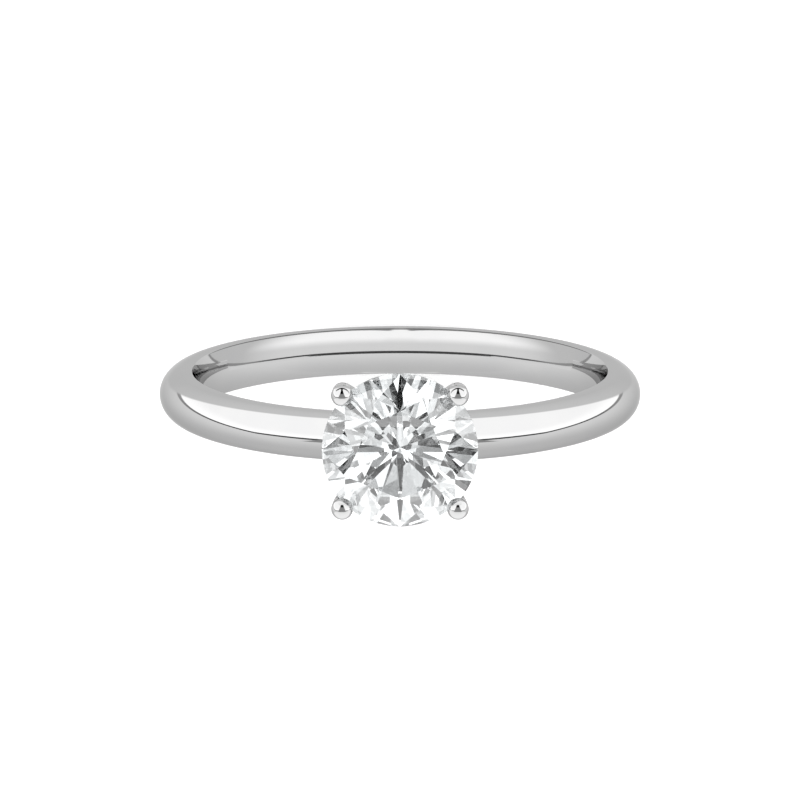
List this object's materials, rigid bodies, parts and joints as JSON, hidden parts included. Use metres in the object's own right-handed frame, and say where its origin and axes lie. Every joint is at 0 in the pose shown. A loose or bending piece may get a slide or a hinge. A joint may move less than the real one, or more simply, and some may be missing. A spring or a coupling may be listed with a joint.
{
  "type": "engagement ring",
  "caption": "Solitaire engagement ring: plain comfort-fit band, low basket head with round-tipped claws, and a round brilliant stone.",
  "frame": {"origin": "centre of the finger hole, on its axis and midway across the band", "axes": "+Y along the finger hole, +Z from the finger hole towards the stone, +X to the right"},
  "size_m": [0.0206, 0.0066, 0.0231],
  "materials": {
    "white_gold": "mirror polished, rhodium plated",
    "diamond": "cut and polished facets"
  },
  "bodies": {
    "root": {"shank": "white_gold", "base_rail": "white_gold", "seat_rail": "white_gold", "claw_back_left": "white_gold", "claw_back_right": "white_gold", "claw_front_left": "white_gold", "claw_front_right": "white_gold", "diamond": "diamond"}
  },
  "joints": []
}
